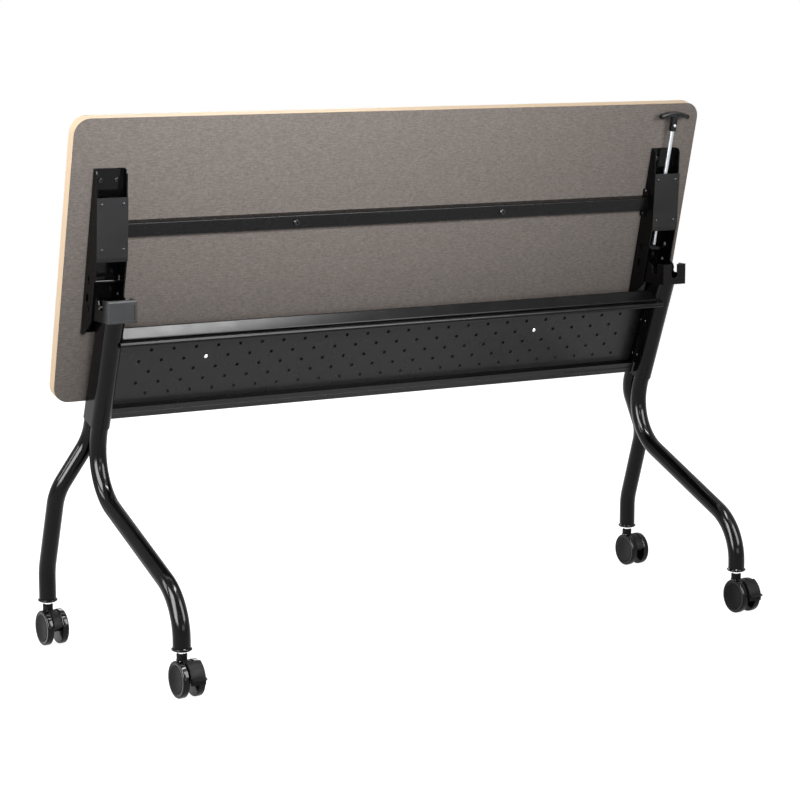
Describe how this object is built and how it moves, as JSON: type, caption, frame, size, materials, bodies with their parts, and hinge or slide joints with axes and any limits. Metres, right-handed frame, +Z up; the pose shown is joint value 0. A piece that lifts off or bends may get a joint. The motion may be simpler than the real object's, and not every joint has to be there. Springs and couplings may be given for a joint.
{
  "type": "flip top training table",
  "caption": "Long folding training table with a thick rounded top hinged on leaning posts, bent tube legs, a perforated modesty panel and twin-wheel casters.",
  "frame": {"origin": "on the floor, under the middle of the table's box", "axes": "+X along the table's length, +Y from the folded underside towards the worktop, +Z up"},
  "size_m": [1.5396, 0.5983, 1.1126],
  "materials": {
    "backer": "matt linen-grained backing sheet",
    "chipboard": "raw particle board",
    "maple": "pale maple pattern, satin",
    "black_coat": "semi-gloss black powder coat",
    "grey_coat": "satin dark grey powder coat",
    "zinc": "bright zinc plate",
    "black_plastic": "fine-grained black moulding",
    "gloss_nylon": "glossy black nylon"
  },
  "bodies": {
    "frame": {"upper_rail": "black_coat", "modesty_panel": "black_coat", "head_cap": "black_plastic", "head_bracket_left": "black_coat", "pivot_pin_left": "black_coat", "post_left": "black_coat", "front_leg_left": "black_coat", "rear_leg_left": "black_coat", "end_plate_left": "black_coat", "head_bracket_right": "black_coat", "pivot_pin_right": "black_coat", "post_right": "black_coat", "front_leg_right": "black_coat", "rear_leg_right": "black_coat", "end_plate_right": "black_coat", "ferrule_front_left": "black_plastic", "caster_stem_front_left": "zinc", "ferrule_front_right": "black_plastic", "caster_stem_front_right": "zinc", "ferrule_rear_left": "black_plastic", "caster_stem_rear_left": "zinc", "ferrule_rear_right": "black_plastic", "caster_stem_rear_right": "zinc"},
    "top": {"backing_sheet": "backer", "tabletop_core": "chipboard", "edge_band": "maple", "top_laminate": "maple", "cross_beam": "black_coat", "pivot_bracket_left": "black_coat", "pivot_bracket_right": "black_coat", "cover_plate_left": "grey_coat", "cover_plate_right": "grey_coat", "rod_guide": "black_plastic", "return_spring": "zinc", "stop_bar": "black_coat"},
    "latch": {"latch_bar": "black_coat", "release_rod": "zinc", "t_handle": "black_plastic"},
    "caster_front_left": {"caster_hood_front_left": "black_plastic", "caster_axle_front_left": "zinc"},
    "wheel_a_front_left": {"wheel_a_front_left": "gloss_nylon"},
    "wheel_b_front_left": {"wheel_b_front_left": "gloss_nylon"},
    "brake_front_left": {"brake_pedal_front_left": "black_plastic"},
    "caster_front_right": {"caster_hood_front_right": "black_plastic", "caster_axle_front_right": "zinc"},
    "wheel_a_front_right": {"wheel_a_front_right": "gloss_nylon"},
    "wheel_b_front_right": {"wheel_b_front_right": "gloss_nylon"},
    "brake_front_right": {"brake_pedal_front_right": "black_plastic"},
    "caster_rear_left": {"caster_hood_rear_left": "black_plastic", "caster_axle_rear_left": "zinc"},
    "wheel_a_rear_left": {"wheel_a_rear_left": "gloss_nylon"},
    "wheel_b_rear_left": {"wheel_b_rear_left": "gloss_nylon"},
    "caster_rear_right": {"caster_hood_rear_right": "black_plastic", "caster_axle_rear_right": "zinc"},
    "wheel_a_rear_right": {"wheel_a_rear_right": "gloss_nylon"},
    "wheel_b_rear_right": {"wheel_b_rear_right": "gloss_nylon"}
  },
  "joints": [
    {"name": "top_flip", "type": "hinge", "parent": "frame", "child": "top", "pos_m": [0, 0.1097, 0.723], "axis": [1, 0, 0], "range_deg": [0, 76.2]},
    {"name": "handle_pull", "type": "slide", "parent": "top", "child": "latch", "axis": [0, -0.2385, 0.9711], "range_m": [0, 0.008], "stiffness_N_per_m": 400, "springref_m": -0.012, "deforming": ["return_spring"]},
    {"name": "swivel_front_left", "type": "hinge", "parent": "frame", "child": "caster_front_left", "pos_m": [-0.678, -0.2304, 0.07], "axis": [0, 0, 1], "continuous": true},
    {"name": "roll_a_front_left", "type": "hinge", "parent": "caster_front_left", "child": "wheel_a_front_left", "pos_m": [-0.678, -0.2514, 0.037], "axis": [1, 0, 0], "continuous": true},
    {"name": "roll_b_front_left", "type": "hinge", "parent": "caster_front_left", "child": "wheel_b_front_left", "pos_m": [-0.678, -0.2514, 0.037], "axis": [1, 0, 0], "continuous": true},
    {"name": "brake_press_front_left", "type": "hinge", "parent": "caster_front_left", "child": "brake_front_left", "pos_m": [-0.678, -0.2514, 0.037], "axis": [1, 0, 0], "range_deg": [0, 14]},
    {"name": "swivel_front_right", "type": "hinge", "parent": "frame", "child": "caster_front_right", "pos_m": [0.678, -0.2304, 0.07], "axis": [0, 0, 1], "continuous": true},
    {"name": "roll_a_front_right", "type": "hinge", "parent": "caster_front_right", "child": "wheel_a_front_right", "pos_m": [0.678, -0.2514, 0.037], "axis": [1, 0, 0], "continuous": true},
    {"name": "roll_b_front_right", "type": "hinge", "parent": "caster_front_right", "child": "wheel_b_front_right", "pos_m": [0.678, -0.2514, 0.037], "axis": [1, 0, 0], "continuous": true},
    {"name": "brake_press_front_right", "type": "hinge", "parent": "caster_front_right", "child": "brake_front_right", "pos_m": [0.678, -0.2514, 0.037], "axis": [1, 0, 0], "range_deg": [0, 14]},
    {"name": "swivel_rear_left", "type": "hinge", "parent": "frame", "child": "caster_rear_left", "pos_m": [-0.746, 0.2784, 0.07], "axis": [0, 0, 1], "continuous": true},
    {"name": "roll_a_rear_left", "type": "hinge", "parent": "caster_rear_left", "child": "wheel_a_rear_left", "pos_m": [-0.746, 0.2574, 0.037], "axis": [1, 0, 0], "continuous": true},
    {"name": "roll_b_rear_left", "type": "hinge", "parent": "caster_rear_left", "child": "wheel_b_rear_left", "pos_m": [-0.746, 0.2574, 0.037], "axis": [1, 0, 0], "continuous": true},
    {"name": "swivel_rear_right", "type": "hinge", "parent": "frame", "child": "caster_rear_right", "pos_m": [0.746, 0.2784, 0.07], "axis": [0, 0, 1], "continuous": true},
    {"name": "roll_a_rear_right", "type": "hinge", "parent": "caster_rear_right", "child": "wheel_a_rear_right", "pos_m": [0.746, 0.2574, 0.037], "axis": [1, 0, 0], "continuous": true},
    {"name": "roll_b_rear_right", "type": "hinge", "parent": "caster_rear_right", "child": "wheel_b_rear_right", "pos_m": [0.746, 0.2574, 0.037], "axis": [1, 0, 0], "continuous": true}
  ]
}
